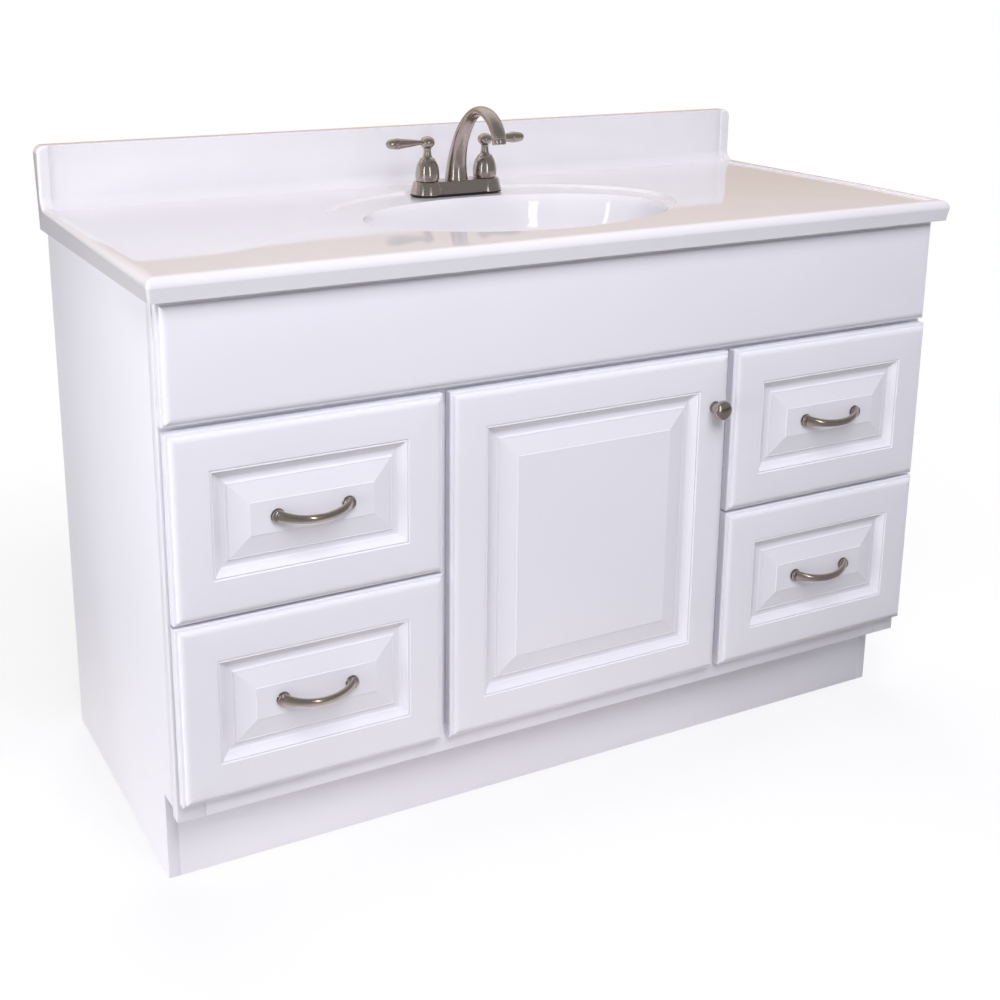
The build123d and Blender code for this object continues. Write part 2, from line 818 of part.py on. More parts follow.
def spout():
    path = spout_path()
    circles = []
    for step in range(spout_sections):
        share = step / (spout_sections - 1)
        narrowing = (1 - share) ** spout_taper_power
        radius = spout_tip_radius + (spout_foot_radius - spout_tip_radius) * narrowing
        place = Plane(origin=path @ share, x_dir=(1, 0, 0), z_dir=path % share)
        circles.append(place * Circle(radius))
    body = loft(circles)
    ground = block(-handle_spacing, handle_spacing, faucet_centre - faucet_base_depth,
                   faucet_centre + faucet_base_depth, faucet_deck - spout_foot_radius, faucet_deck)
    return body - ground


def aerator():
    path = spout_path()
    place = Plane(origin=path @ 1, x_dir=(1, 0, 0), z_dir=path % 1)
    ring = bar(aerator_radius, aerator_length)
    ring -= upright(0, 0, aerator_length / 2, aerator_bore_radius, aerator_length)
    return place.location * ring


def faucet_nut(side):
    low = cabinet_height + top_under_pocket - faucet_nut_height
    x = side * handle_spacing / 2
    nut = upright(x, faucet_centre, low, faucet_nut_radius, faucet_nut_height)
    bore = shank_radius + shank_clearance
    return nut - upright(x, faucet_centre, low - faucet_nut_height, bore, 3 * faucet_nut_height)


def build_faucet():
    save("faucet_base", faucet_base())
    save("spout", spout())
    save("aerator", aerator())
    save("valves", *[valve(side) for side in sides.values()])
    save("faucet_nuts", *[faucet_nut(side) for side in sides.values()])
    for name, side in sides.items():
        save(f"handle_{name}", handle(side))
        save(f"lever_{name}", lever(side))
    return faucet_gasket()


os.makedirs("parts", exist_ok=True)
build_carcass()
build_face_frame()
build_false_front()
build_bumpers()
build_door()
build_drawers()
save("gaskets", build_top_and_drain(), build_faucet())
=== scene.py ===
import bpy
import bmesh
import json
from math import cos, pi, radians, sin
from mathutils import Matrix, Vector


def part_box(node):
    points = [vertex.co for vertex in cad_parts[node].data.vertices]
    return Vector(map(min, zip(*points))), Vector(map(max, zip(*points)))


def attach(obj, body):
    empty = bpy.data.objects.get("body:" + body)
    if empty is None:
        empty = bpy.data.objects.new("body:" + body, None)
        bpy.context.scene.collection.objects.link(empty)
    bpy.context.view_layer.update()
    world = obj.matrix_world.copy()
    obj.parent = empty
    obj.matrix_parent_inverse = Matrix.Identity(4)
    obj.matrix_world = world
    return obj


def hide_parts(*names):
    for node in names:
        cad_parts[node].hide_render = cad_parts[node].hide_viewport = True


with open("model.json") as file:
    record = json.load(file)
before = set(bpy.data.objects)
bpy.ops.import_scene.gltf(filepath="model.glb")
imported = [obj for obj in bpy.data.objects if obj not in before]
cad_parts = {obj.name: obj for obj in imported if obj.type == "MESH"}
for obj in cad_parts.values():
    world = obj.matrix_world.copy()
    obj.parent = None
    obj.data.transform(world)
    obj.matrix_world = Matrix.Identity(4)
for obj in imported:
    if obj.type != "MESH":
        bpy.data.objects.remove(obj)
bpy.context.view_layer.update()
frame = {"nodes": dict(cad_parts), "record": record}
record = frame["record"]
slotOf = {part["node"]: part["material_slot"] for part in record["subparts"]}
bodyOf = {node: body for body, nodes in record["behaviour"]["bodies"].items() for node in nodes}
drawers = ["upper_left", "upper_right", "lower_left", "lower_right"]
sides = {"left": -1, "right": 1}
mm = 0.001
print("frame loaded:", len(frame["nodes"]), "nodes")


# finishes

def linear(hexColour):
    channels = [int(hexColour[i:i + 2], 16) / 255 for i in (1, 3, 5)]
    return tuple(c / 12.92 if c <= 0.04045 else ((c + 0.055) / 1.055) ** 2.4 for c in channels) + (1.0,)


def addNode(owner, kind, feeds=None, **settings):
    node = owner.node_tree.nodes.new(kind)
    for key, value in settings.items():
        setattr(node, key, value)
    for socket, value in (feeds or {}).items():
        if isinstance(value, bpy.types.NodeSocket):
            owner.node_tree.links.new(value, node.inputs[socket])
        else:
            node.inputs[socket].default_value = value
    return node


def newFinish(name, fixed):
    mat = bpy.data.materials.new(name)
    mat.use_nodes = True
    shader = mat.node_tree.nodes["Principled BSDF"]
    for socket, value in fixed.items():
        shader.inputs[socket].default_value = value
    return mat, shader, addNode(mat, "ShaderNodeTexCoord").outputs["Object"]


def feed(mat, shader, **outputs):
    for socket, output in outputs.items():
        mat.node_tree.links.new(output, shader.inputs[socket.replace("_", " ")])


# vinyl foil vacuum pressed on moulded fibreboard: even satin white with a faint cool cast,
# and a slow orange peel that softens long highlights (drawn coarser than life so that it shows)
foil = {"light": "#E9E8F0", "shade": "#E4E3EB", "driftMm": 260, "peelMm": 7, "peelHeightMm": 0.012,
        "peelStrength": 0.5, "roughLow": 0.33, "roughHigh": 0.41}
vinylFoil, shader, where = newFinish("vinyl foil", {"IOR": 1.5})
drift = addNode(vinylFoil, "ShaderNodeTexNoise", {"Vector": where, "Scale": 1 / (foil["driftMm"] * mm)})
tone = addNode(vinylFoil, "ShaderNodeMix", {0: drift.outputs["Fac"], 6: linear(foil["light"]),
                                            7: linear(foil["shade"])}, data_type="RGBA")
peel = addNode(vinylFoil, "ShaderNodeTexNoise", {"Vector": where, "Scale": 1 / (foil["peelMm"] * mm),
                                                 "Detail": 1.0})
rough = addNode(vinylFoil, "ShaderNodeMapRange", {"Value": peel.outputs["Fac"], "To Min": foil["roughLow"],
                                                  "To Max": foil["roughHigh"]})
bump = addNode(vinylFoil, "ShaderNodeBump", {"Height": peel.outputs["Fac"],
                                             "Strength": foil["peelStrength"],
                                             "Distance": foil["peelHeightMm"] * mm})
feed(vinylFoil, shader, Base_Color=tone.outputs[2], Roughness=rough.outputs["Result"],
     Normal=bump.outputs["Normal"])

# melamine faced chipboard: flat cool white with a fine pebbled press texture
melamine = {"light": "#E9E9EC", "shade": "#E2E2E6", "pebbleMm": 2.5, "pebbleHeightMm": 0.05,
            "pebbleStrength": 0.3}
melamineBoard, shader, where = newFinish("melamine board", {"IOR": 1.48, "Roughness": 0.55})
pebble = addNode(melamineBoard, "ShaderNodeTexVoronoi", {"Vector": where,
                                                         "Scale": 1 / (melamine["pebbleMm"] * mm)})
tone = addNode(melamineBoard, "ShaderNodeMix", {0: pebble.outputs["Distance"], 6: linear(melamine["light"]),
                                                7: linear(melamine["shade"])}, data_type="RGBA")
bump = addNode(melamineBoard, "ShaderNodeBump", {"Height": pebble.outputs["Distance"],
                                                 "Strength": melamine["pebbleStrength"],
                                                 "Distance": melamine["pebbleHeightMm"] * mm})
feed(melamineBoard, shader, Base_Color=tone.outputs[2], Normal=bump.outputs["Normal"])

# birch plywood under clear lacquer: pale straw with long, soft grain lines that run along the boards
birch = {"light": "#E6D2AE", "dark": "#C9A878", "grainMm": 4, "lengthMm": 160, "grainHeightMm": 0.06,
         "grainStrength": 0.4}
birchPly, shader, where = newFinish("birch plywood", {"IOR": 1.5, "Roughness": 0.45})
stretch = addNode(birchPly, "ShaderNodeMapping", {"Vector": where, "Scale": (
    1 / (birch["lengthMm"] * mm), 1 / (birch["lengthMm"] * mm), 1 / (birch["grainMm"] * mm))})
grain = addNode(birchPly, "ShaderNodeTexNoise", {"Vector": stretch.outputs["Vector"], "Scale": 1.0,
                                                 "Detail": 6.0, "Roughness": 0.62, "Distortion": 0.4})
tone = addNode(birchPly, "ShaderNodeMix", {0: grain.outputs["Fac"], 6: linear(birch["dark"]),
                                           7: linear(birch["light"])}, data_type="RGBA")
bump = addNode(birchPly, "ShaderNodeBump", {"Height": grain.outputs["Fac"],
                                            "Strength": birch["grainStrength"],
                                            "Distance": birch["grainHeightMm"] * mm})
feed(birchPly, shader, Base_Color=tone.outputs[2], Normal=bump.outputs["Normal"])

# cast marble under a polished gel coat: cool white, wet gloss, with the faintest clouding in the body
marble = {"light": "#E4E3E9", "cloud": "#DFDDE3", "cloudMm": 140, "waveMm": 60, "roughLow": 0.04,
          "roughHigh": 0.07}
castMarble, shader, where = newFinish("cast marble", {"IOR": 1.52, "Coat Weight": 0.35,
                                                      "Coat Roughness": 0.05})
cloud = addNode(castMarble, "ShaderNodeTexNoise", {"Vector": where, "Scale": 1 / (marble["cloudMm"] * mm),
                                                   "Detail": 4.0, "Distortion": 1.2})
tone = addNode(castMarble, "ShaderNodeMix", {0: cloud.outputs["Fac"], 6: linear(marble["light"]),
                                             7: linear(marble["cloud"])}, data_type="RGBA")
wave = addNode(castMarble, "ShaderNodeTexNoise", {"Vector": where, "Scale": 1 / (marble["waveMm"] * mm)})
rough = addNode(castMarble, "ShaderNodeMapRange", {"Value": wave.outputs["Fac"],
                                                   "To Min": marble["roughLow"],
                                                   "To Max": marble["roughHigh"]})
feed(castMarble, shader, Base_Color=tone.outputs[2], Roughness=rough.outputs["Result"])

# plated and bare metals: brushed across, so the gloss breaks into fine streaks (drawn wider than life)
brushing = {"longer": 12, "strength": 0.25, "deepMm": 0.02}


def metalFinish(name, light, dark, streakMm, roughLow, roughHigh):
    mat, shader, where = newFinish(name, {"Metallic": 1.0})
    fine = 1 / (streakMm * mm)
    slow = fine / brushing["longer"]
    stretch = addNode(mat, "ShaderNodeMapping", {"Vector": where, "Scale": (slow, slow, fine)})
    streak = addNode(mat, "ShaderNodeTexNoise", {"Vector": stretch.outputs["Vector"], "Scale": 1.0,
                                                 "Detail": 3.0})
    tone = addNode(mat, "ShaderNodeMix", {0: streak.outputs["Fac"], 6: linear(dark), 7: linear(light)},
                   data_type="RGBA")
    rough = addNode(mat, "ShaderNodeMapRange", {"Value": streak.outputs["Fac"], "To Min": roughLow,
                                                "To Max": roughHigh})
    bump = addNode(mat, "ShaderNodeBump", {"Height": streak.outputs["Fac"],
                                           "Strength": brushing["strength"],
                                           "Distance": brushing["deepMm"] * mm})
    feed(mat, shader, Base_Color=tone.outputs[2], Roughness=rough.outputs["Result"],
         Normal=bump.outputs["Normal"])
    return mat


# satin nickel plate: warm grey with a soft gloss
satinNickel = metalFinish("satin nickel", light="#C9BEB6", dark="#A79D96", streakMm=0.7, roughLow=0.14,
                          roughHigh=0.22)
# zinc plate: bluish and a little mottled
zincSteel = metalFinish("zinc plated steel", light="#B4B7BB", dark="#9DA1A6", streakMm=1.5, roughLow=0.28,
                        roughHigh=0.42)
# chrome plate: pale, near mirror
chromedTube = metalFinish("chromed brass tube", light="#D2D3D5", dark="#C8C9CC", streakMm=2.0,
                          roughLow=0.06, roughHigh=0.1)
# bare turned brass: yellow with fine rings
machinedBrass = metalFinish("machined brass", light="#C9A55C", dark="#B08E49", streakMm=0.8, roughLow=0.25,
                            roughHigh=0.35)

# moulded and soft parts: even colour, a fine matt skin
moulding = {"strength": 0.3, "deepMm": 0.04}


def mouldedFinish(name, light, dark, skinMm, roughness):
    mat, shader, where = newFinish(name, {"Roughness": roughness, "IOR": 1.5})
    skin = addNode(mat, "ShaderNodeTexNoise", {"Vector": where, "Scale": 1 / (skinMm * mm), "Detail": 3.0})
    tone = addNode(mat, "ShaderNodeMix", {0: skin.outputs["Fac"], 6: linear(light), 7: linear(dark)},
                   data_type="RGBA")
    bump = addNode(mat, "ShaderNodeBump", {"Height": skin.outputs["Fac"], "Strength": moulding["strength"],
                                           "Distance": moulding["deepMm"] * mm})
    feed(mat, shader, Base_Color=tone.outputs[2], Normal=bump.outputs["Normal"])
    return mat


# nylon is mid grey and dull, rubber near black and matt, soft vinyl milky with a little shine
greyNylon = mouldedFinish("grey nylon", light="#86878A", dark="#77787B", skinMm=2.0, roughness=0.5)
blackRubber = mouldedFinish("black rubber", light="#262626", dark="#1B1B1B", skinMm=1.2, roughness=0.75)
softVinyl = mouldedFinish("soft clear vinyl", light="#DCDDDD", dark="#D0D1D2", skinMm=3.0, roughness=0.3)

finishes = {"white thermofoil": vinylFoil, "white melamine board": melamineBoard, "birch plywood": birchPly,
            "white cast marble": castMarble, "satin nickel": satinNickel, "zinc plated steel": zincSteel,
            "chromed tube": chromedTube, "brass": machinedBrass, "grey plastic": greyNylon,
            "rubber": blackRubber, "clear soft plastic": softVinyl}
for name, node in frame["nodes"].items():
    node.data.materials.clear()
    node.data.materials.append(finishes[slotOf[name]])
print("finishes made:", len(finishes))


# modelling helpers

weldMm = {"node": 0.005, "form": 0.004}  # points nearer than this are joined


def shadeForm(bm, crease):  # an edge that turns by more than the crease, in degrees, stays crisp
    for face in bm.faces:
        face.smooth = True
    for edge in bm.edges:
        edge.smooth = len(edge.link_faces) == 2 and edge.calc_face_angle(0) < radians(crease)


def finishPiece(name, bm, node):
    mesh = bpy.data.meshes.new(name)
    bm.to_mesh(mesh)
    bm.free()
    mesh.materials.append(finishes[slotOf[node]])
    piece = bpy.data.objects.new(name, mesh)
    bpy.context.scene.collection.objects.link(piece)
    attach(piece, bodyOf[node])
    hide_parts(node)
    return piece


def copyOfNode(node):
    bm = bmesh.new()
    bm.from_mesh(frame["nodes"][node].data)
    bmesh.ops.remove_doubles(bm, verts=bm.verts, dist=weldMm["node"] * mm)
    return bm


def flow(points, steps=6):  # a smooth run through the points of an outline
    run = [Vector(p) for p in points]
    ends = [run[0]] + run + [run[-1]]
    path = []
    for a, b, c, d in zip(ends, ends[1:], ends[2:], ends[3:]):
        for k in range(steps):
            t = k / steps
            path.append(((2 * b) + (c - a) * t + (2 * a - 5 * b + 4 * c - d) * t * t
                         + (3 * b - a - 3 * c + d) * t ** 3) / 2)
    return path + [run[-1]]


def settle(bm):  # marks what is in place, so that the next spun form moves alone
    for v in bm.verts:
        v.tag = True


def spun(bm, outline, matrix, segments):  # outline of (radius, height) in mm, turned about the matrix's Z
    verts = [bm.verts.new((p[0] * mm, 0, p[1] * mm)) for p in outline]
    edges = [bm.edges.new(pair) for pair in zip(verts, verts[1:])]
    bmesh.ops.spin(bm, geom=verts + edges, cent=(0, 0, 0), axis=(0, 0, 1), angle=2 * pi, steps=segments,
                   use_merge=True)
    form = set(verts) | {v for v in bm.verts if v.link_faces and not v.tag}
    bmesh.ops.transform(bm, matrix=matrix, verts=[v for v in form if v.is_valid])
    settle(bm)


def sweep(bm, places, segments):  # a closed bar of oval rings set by the matrices
    first = bmesh.ops.create_circle(bm, cap_ends=True, segments=segments, radius=1.0, matrix=places[0])
    ring = list({e for v in first["verts"] for e in v.link_edges})
    for before, after in zip(places, places[1:]):
        made = bmesh.ops.extrude_edge_only(bm, edges=ring)
        verts = [g for g in made["geom"] if isinstance(g, bmesh.types.BMVert)]
        bmesh.ops.transform(bm, matrix=after @ before.inverted(), verts=verts)
        ring = [g for g in made["geom"] if isinstance(g, bmesh.types.BMEdge) and g.verts[0] in verts
                and g.verts[1] in verts]
    bmesh.ops.edgeloop_fill(bm, edges=ring)
    settle(bm)


def closeForm(bm, crease):
    bmesh.ops.remove_doubles(bm, verts=bm.verts, dist=weldMm["form"] * mm)
    bmesh.ops.recalc_face_normals(bm, faces=bm.faces)
    shadeForm(bm, crease)


def placed(x, y, z, right, up, out):  # a frame from its three directions, in metres
    columns = [Vector(right), Vector(up), Vector(out)]
    matrix = Matrix([[columns[c][r] for c in range(3)] for r in range(3)]).to_4x4()
    return Matrix.Translation((x, y, z)) @ matrix


def facingFront(x, y, z):  # local Z comes out of the front, local Y is up
    return placed(x, y, z, (1, 0, 0), (0, 0, 1), (0, -1, 0))


# moulded fronts, from the outer edge to the raised field, in mm: a round lip, a step, a shoulder and a flat
# border, then an edge bead, a cove, a field bead and a long bevel; the false front stops at its shoulder
frontForm = {"lipRound": 1.6, "lipFlat": 2.8, "lipSlope": 0.2, "step": 1.9, "stepWidth": 0.5,
             "shoulderRise": 3.4, "shoulderWidth": 8.0, "borderEnd": 51.0, "edgeStep": 1.4, "edgeDrop": 1.6,
             "edgeBead": 2.0, "edgeBeadRise": 0.8, "coveTop": 3.2, "coveTopDrop": 4.4, "coveSlope": 5.6,
             "coveSlopeDrop": 2.9, "coveFoot": 3.0, "coveFootDrop": 1.3, "grooveFloor": 0.6,
             "fieldBead": 7.0, "fieldBeadRise": 3.0, "quirk": 0.6, "quirkDrop": 0.5, "bevelEnd": 100.6,
             "field": 17.9, "fieldStep": 0.6, "fieldStepRise": 0.8, "arcSteps": 6, "mitreSlack": 0.001,
             "crease": 30}


def quarter(width, rise, steepFirst):
    turn = [radians(90 * k / frontForm["arcSteps"]) for k in range(frontForm["arcSteps"] + 1)]
    across = [width * (1 - cos(t)) if steepFirst else width * sin(t) for t in turn]
    along = [rise * sin(t) if steepFirst else rise * (1 - cos(t)) for t in turn]
    return [(across[k + 1] - across[k], along[k + 1] - along[k]) for k in range(frontForm["arcSteps"])]


def mouldedFront(node, grooved):
    f = frontForm
    low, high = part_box(node)
    middle = (low + high) / 2
    thick = (high.y - low.y) / mm
    lip = f["lipRound"]
    wall = thick - lip - f["lipSlope"] - f["step"] - f["shoulderRise"]
    steps = quarter(lip, lip, True) + [(f["lipFlat"], f["lipSlope"]), (f["stepWidth"], f["step"])]
    steps += quarter(f["shoulderWidth"], f["shoulderRise"], True)
    if grooved:
        steps.append((f["borderEnd"] - sum(s[0] for s in steps), 0))
        steps += [(f["edgeStep"], -f["edgeDrop"]), (f["edgeBead"], f["edgeBeadRise"])]
        steps += [(f["coveTop"], -f["coveTopDrop"]), (f["coveSlope"], -f["coveSlopeDrop"])]
        steps += quarter(f["coveFoot"], -f["coveFootDrop"], True)
        steps.append((f["grooveFloor"], 0))
        steps += quarter(f["fieldBead"], f["fieldBeadRise"], False)
        steps.append((f["quirk"], -f["quirkDrop"]))
        reached = wall + sum(s[1] for s in steps)
        steps.append((f["bevelEnd"] - sum(s[0] for s in steps), f["field"] - f["fieldStepRise"] - reached))
        steps.append((f["fieldStep"], f["fieldStepRise"]))
    bm = bmesh.new()
    size = Matrix.Diagonal((high.x - low.x, wall * mm, high.z - low.z, 1))
    place = Matrix.Translation((middle.x, high.y - wall * mm / 2, middle.z))
    bmesh.ops.create_cube(bm, size=1.0, matrix=place @ size)
    face = min(bm.faces, key=lambda g: g.calc_center_median().y)
    for inset, rise in steps:
        bmesh.ops.inset_region(bm, faces=[face], thickness=inset * mm, depth=rise * mm, use_even_offset=True,
                               use_boundary=True)
    shadeForm(bm, f["crease"])
    slack = f["mitreSlack"] * mm
    for edge in bm.edges:  # mitres stay crisp
        run = edge.verts[1].co - edge.verts[0].co
        if abs(run.x) > slack and abs(run.z) > slack:
            edge.smooth = False
    finishPiece(node + "_moulded", bm, node)


mouldedFront("false_front", False)
mouldedFront("door_panel", True)
for drawer in drawers:
    mouldedFront("drawer_front_" + drawer, True)
print("moulded fronts made")

# bow pulls: a disc foot, a groove and a collar at each end of a flattened bar that bows out and sags a bit
pullForm = {"spacing": 96.0, "standOff": 0.6, "start": 4.25, "bowOut": 19.25, "sag": 4.0, "barHigh": 5.8,
            "barHighEnd": 8.8, "barDeep": 4.0, "barDeepEnd": 4.4, "flarePower": 3, "stations": 37,
            "foot": [(0, 0), (9.0, 0), (9.6, 0.5), (9.6, 1.6), (9.0, 2.3), (7.2, 2.5), (6.9, 2.9),
                     (7.2, 3.3), (8.4, 3.5), (8.7, 4.2), (8.4, 5.2), (7.2, 6.1), (4.4, 6.5), (0, 6.5)],
            "barSegments": 28, "footSegments": 40, "crease": 40}


def bowPull(drawer):
    f = pullForm
    low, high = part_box("drawer_front_" + drawer)
    place = facingFront((low.x + high.x) / 2, low.y + f["standOff"] * mm, (low.z + high.z) / 2)
    bm = bmesh.new()
    half = f["spacing"] / 2
    rise = (f["bowOut"] ** 2 + f["sag"] ** 2) ** 0.5
    radius = (half ** 2 + rise ** 2) / (2 * rise)
    lean = Vector((0, -f["sag"] / rise, f["bowOut"] / rise))
    across = Vector((1, 0, 0)).cross(lean)
    reach = Vector((half, radius - rise)).angle(Vector((0, 1)))
    rings = []
    for k in range(f["stations"]):
        turn = reach * (2 * k / (f["stations"] - 1) - 1)
        flare = abs(turn / reach) ** f["flarePower"]
        tall = (f["barHigh"] + (f["barHighEnd"] - f["barHigh"]) * flare) * mm
        deep = (f["barDeep"] + (f["barDeepEnd"] - f["barDeep"]) * flare) * mm
        along = Vector((cos(turn), 0, 0)) - lean * sin(turn)
        depthWay = across.cross(along)
        at = Vector((radius * sin(turn), 0, f["start"])) + lean * (radius * cos(turn) - (radius - rise))
        rings.append(place @ placed(*(at * mm), across * tall, depthWay * deep, along * mm))
    sweep(bm, rings, f["barSegments"])
    for side in sides.values():
        spun(bm, f["foot"], place @ Matrix.Translation((side * half * mm, 0, 0)), f["footSegments"])
    closeForm(bm, f["crease"])
    node = "pull_" + drawer
    finishPiece(node + "_bow", bm, node)


for drawer in drawers:
    bowPull(drawer)

# mushroom knob
knobForm = {"foot": [(0, 0), (8.5, 0), (9.0, 0.6), (9.0, 2.0), (8.4, 2.7), (7.0, 3.0)],
            "neck": [(6.5, 3.4), (6.0, 6.0), (6.0, 9.0), (6.6, 12.0), (8.6, 13.6)],
            "cap": [(12.4, 14.6), (14.1, 16.6), (14.5, 19.4), (14.0, 22.0), (12.4, 23.8), (8.6, 25.6),
                    (4.2, 26.6), (0, 27.0)],
            "segments": 64, "crease": 40}
low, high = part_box("door_knob")
bm = bmesh.new()
spun(bm, knobForm["foot"] + flow(knobForm["neck"]) + flow(knobForm["cap"]),
     facingFront((low.x + high.x) / 2, high.y, (low.z + high.z) / 2), knobForm["segments"])
closeForm(bm, knobForm["crease"])
finishPiece("door_knob_turned", bm, "door_knob")
print("pulls and knob made")

# faucet handles: a bell on a foot bead, a shoulder ring, a slim neck and a pressed ball
handleForm = {"foot": [(15.0, 0), (17.0, 0), (17.0, 1.4)],
              "bell": [(18.5, 1.8), (18.8, 4.0), (18.8, 9.0), (18.4, 14.0), (17.5, 19.6), (15.9, 25.4),
                       (13.6, 29.6), (12.0, 31.6)],
              "ring": [(11.6, 32.0), (12.0, 32.3), (12.1, 33.1), (11.7, 33.8), (10.6, 34.3)],
              "neck": [(9.6, 34.8), (7.7, 36.4), (6.8, 38.6), (6.1, 42.0), (5.8, 46.0), (6.1, 50.0)],
              "ball": 58.6, "ballWide": 11.6, "ballHigh": 9.6, "ballStart": -62, "ballSteps": 16,
              "segments": 72, "crease": 36}


def turnedHandle(name):
    f = handleForm
    node = "handle_" + name
    low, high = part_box(node)
    ball = []
    for k in range(f["ballSteps"] + 1):
        turn = radians(f["ballStart"] + (90 - f["ballStart"]) * k / f["ballSteps"])
        ball.append((max(f["ballWide"] * cos(turn), 0), f["ball"] + f["ballHigh"] * sin(turn)))
    ball[-1] = (0, ball[-1][1])
    bm = bmesh.new()
    outline = f["foot"] + flow(f["bell"]) + f["ring"] + flow(f["neck"]) + ball
    place = Matrix.Translation(((low.x + high.x) / 2, (low.y + high.y) / 2, low.z))
    spun(bm, outline, place, f["segments"])
    closeForm(bm, f["crease"])
    finishPiece(node + "_turned", bm, node)


# levers: slim at the root, swelling outwards to a bright ring and a domed cap; each point's second number
# counts from the handle's axis
leverForm = {"root": [(0, 8.3)],
             "bar": [(3.8, 8.3), (3.8, 13.0), (4.5, 19.0), (5.5, 26.0), (6.5, 35.0), (7.5, 43.0),
                     (8.1, 48.4)],
             "ring": [(8.4, 48.8), (8.6, 49.4), (8.6, 54.2), (8.3, 54.9), (7.6, 55.2)],
             "cap": [(7.7, 55.6), (8.0, 57.6), (7.7, 61.0), (6.7, 65.2), (5.0, 68.2), (2.6, 69.9),
                     (0, 70.4)],
             "fromAxis": 8.2, "segments": 48, "crease": 36}


def turnedLever(name, side):
    f = leverForm
    node = "lever_" + name
    low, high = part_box(node)
    root = low.x if side > 0 else high.x
    axis = root - side * f["fromAxis"] * mm
    place = placed(axis, (low.y + high.y) / 2, (low.z + high.z) / 2, (0, 1, 0), (0, 0, side), (side, 0, 0))
    bm = bmesh.new()
    spun(bm, f["root"] + flow(f["bar"]) + f["ring"] + flow(f["cap"]), place, f["segments"])
    closeForm(bm, f["crease"])
    finishPiece(node + "_turned", bm, node)


for name, side in sides.items():
    turnedHandle(name)
    turnedLever(name, side)

# spout: a round foot that rises, flattens to an oval over the arch and comes down to the aerator;
# each station is (y, z, half width, half thickness) in mm
spoutForm = {"stations": [(153.75, 850.9, 18.2, 18.2), (153.2, 864, 16.4, 16.2), (151.6, 878, 15.2, 14.6),
                          (146.4, 897, 13.8, 12.6), (137.6, 916, 12.8, 11.0), (125.8, 933, 12.1, 9.6),
                          (110.8, 947.6, 11.8, 8.4), (94.8, 957.8, 11.6, 7.6), (78.6, 962.6, 11.5, 7.0),
                          (62.6, 962.0, 11.6, 6.9), (47.6, 956.8, 11.7, 7.2), (35.4, 948.6, 11.7, 7.8),
                          (26.6, 938.8, 11.4, 8.6), (22.2, 931.6, 11.0, 9.4), (20.8, 927.8, 10.8, 9.9)],
             "runSteps": 4, "segments": 48, "crease": 50}
path = flow(spoutForm["stations"], spoutForm["runSteps"])
rings = []
for k, (y, z, wide, thick) in enumerate(path):
    ahead = path[min(k + 1, len(path) - 1)]
    behind = path[max(k - 1, 0)]
    along = Vector((0, ahead[0] - behind[0], ahead[1] - behind[1])).normalized()
    outward = along.cross((1, 0, 0)) * thick * mm
    rings.append(placed(0, y * mm, z * mm, Vector((wide * mm, 0, 0)), outward, along * mm))
bm = bmesh.new()
sweep(bm, rings, spoutForm["segments"])
closeForm(bm, spoutForm["crease"])
finishPiece("spout_swept", bm, "spout")

# aerator: a short sleeve with two grooves at the spout's tip
aeratorForm = {"sleeve": [(0, -2.5), (9.6, -2.5), (10.6, -1.0), (11.0, -0.2), (11.0, 1.0), (10.5, 1.5),
                          (10.3, 2.0), (10.5, 2.5), (10.6, 7.0), (10.5, 7.6), (10.2, 7.9), (10.2, 8.3),
                          (10.5, 8.6), (10.3, 9.6), (9.6, 10.2), (7.9, 10.2), (7.6, 9.8), (7.6, 5.0),
                          (0, 5.0)],
               "tilt": 9.0, "segments": 56, "crease": 36}
tip = path[-1]
tilt = radians(aeratorForm["tilt"])
along = Vector((0, -sin(tilt), -cos(tilt)))
place = placed(0, tip[0] * mm, tip[1] * mm, (1, 0, 0), along.cross((1, 0, 0)), along)
bm = bmesh.new()
spun(bm, aeratorForm["sleeve"], place, aeratorForm["segments"])
closeForm(bm, aeratorForm["crease"])
finishPiece("aerator_ringed", bm, "aerator")

# base: a flared pedestal under each handle, joined by a flat fronted bridge
baseForm = {"pedestal": [(0, 0), (26.4, 0), (26.9, 0.5), (26.6, 1.8), (22.4, 17.4), (21.6, 19.2),
                         (20.2, 20.0), (0, 20.0)],
            "height": 20.0, "bridgeFoot": 22.0, "bridgeTop": 17.6, "bridgeDrop": 0.7, "bridgeEase": 1.6,
            "easeSegments": 4, "segments": 72, "crease": 34}
low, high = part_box("faucet_base")
middle = (low + high) / 2
seat = low.z
handleLow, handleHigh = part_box("handle_right")
reach = (handleLow.x + handleHigh.x) / 2
tall = baseForm["height"] - baseForm["bridgeDrop"]
size = Matrix.Diagonal((2 * reach, 2 * baseForm["bridgeFoot"] * mm, tall * mm, 1))
place = Matrix.Translation((0, middle.y, seat + tall * mm / 2))
bm = bmesh.new()
bmesh.ops.create_cube(bm, size=1.0, matrix=place @ size)
upper = [v for v in bm.verts if v.co.z > seat + tall * mm / 2]
for v in upper:
    v.co.y = middle.y + (v.co.y - middle.y) * baseForm["bridgeTop"] / baseForm["bridgeFoot"]
ridges = [e for e in bm.edges if all(v in upper for v in e.verts)]
bmesh.ops.bevel(bm, geom=ridges, offset=baseForm["bridgeEase"] * mm, segments=baseForm["easeSegments"],
                profile=0.5, affect="EDGES", material=-1)
settle(bm)
for side in sides.values():
    spun(bm, baseForm["pedestal"], Matrix.Translation((side * reach, middle.y, seat)), baseForm["segments"])
closeForm(bm, baseForm["crease"])
finishPiece("faucet_base_turned", bm, "faucet_base")

# small cast and pressed parts: the CAD form as it is, smooth where it is curved
smoothParts = {"nodes": ("drain_flange", "drain_stopper", "drain_tailpiece", "valves", "hinge_cups"),
               "crease": 40}
for node in smoothParts["nodes"]:
    bm = copyOfNode(node)
    shadeForm(bm, smoothParts["crease"])
    finishPiece(node + "_smooth", bm, node)
print("faucet and drain made")

